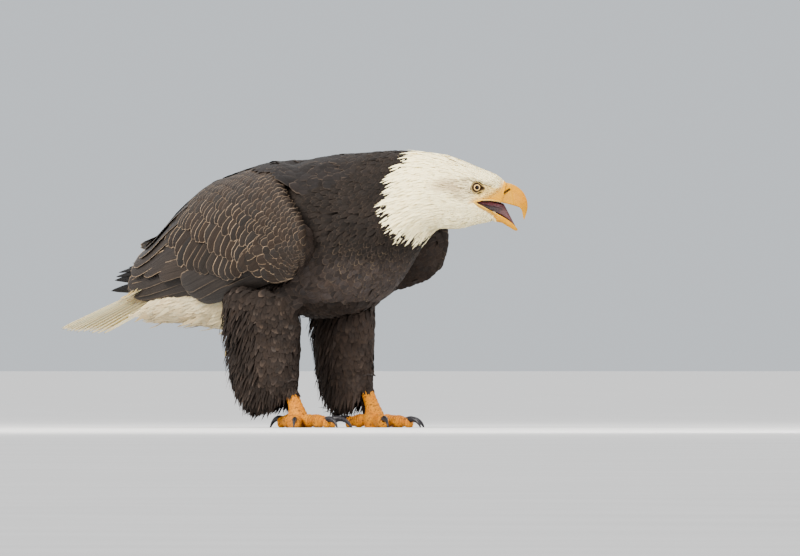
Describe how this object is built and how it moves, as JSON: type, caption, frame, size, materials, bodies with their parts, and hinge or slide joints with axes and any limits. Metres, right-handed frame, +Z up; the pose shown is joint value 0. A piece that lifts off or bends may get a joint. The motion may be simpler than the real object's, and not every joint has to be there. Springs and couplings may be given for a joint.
{
  "type": "bald eagle",
  "caption": "Standing bald eagle at life size, body leaning forward, wings loosely folded, head turned to its left with the hooked bill open.",
  "frame": {"origin": "middle of the footprint, on the floor", "axes": "+X the way the body faces, +Y the bird's left, +Z up"},
  "size_m": [0.836, 0.2978, 0.4281],
  "materials": {
    "brown_plumage": "dark brown contour feathers, paler at their edges",
    "flight_feathers": "slate-brown flight feathers, nearly black at the tips",
    "white_plumage": "creamy white feathers",
    "bill": "satin yellow horn",
    "mouth": "moist dark purple lining",
    "leg_skin": "scaled orange-yellow skin",
    "claw": "glossy grey-black horn",
    "eye": "clear cornea over a pale cream iris and a black pupil"
  },
  "bodies": {
    "root": {"trunk": "brown_plumage", "neck": "white_plumage", "head": "white_plumage", "bill_upper": "bill", "bill_lower": "bill", "tongue": "mouth", "undertail": "white_plumage", "tail": "white_plumage", "eye_right": "eye", "wing_right": "brown_plumage", "secondaries_right": "flight_feathers", "primaries_right": "flight_feathers", "thigh_right": "brown_plumage", "shank_right": "leg_skin", "toe_middle_right": "leg_skin", "claw_middle_right": "claw", "toe_inner_right": "leg_skin", "claw_inner_right": "claw", "toe_outer_right": "leg_skin", "claw_outer_right": "claw", "toe_hallux_right": "leg_skin", "claw_hallux_right": "claw", "eye_left": "eye", "wing_left": "brown_plumage", "secondaries_left": "flight_feathers", "primaries_left": "flight_feathers", "thigh_left": "brown_plumage", "shank_left": "leg_skin", "toe_middle_left": "leg_skin", "claw_middle_left": "claw", "toe_inner_left": "leg_skin", "claw_inner_left": "claw", "toe_outer_left": "leg_skin", "claw_outer_left": "claw", "toe_hallux_left": "leg_skin", "claw_hallux_left": "claw"}
  },
  "joints": []
}
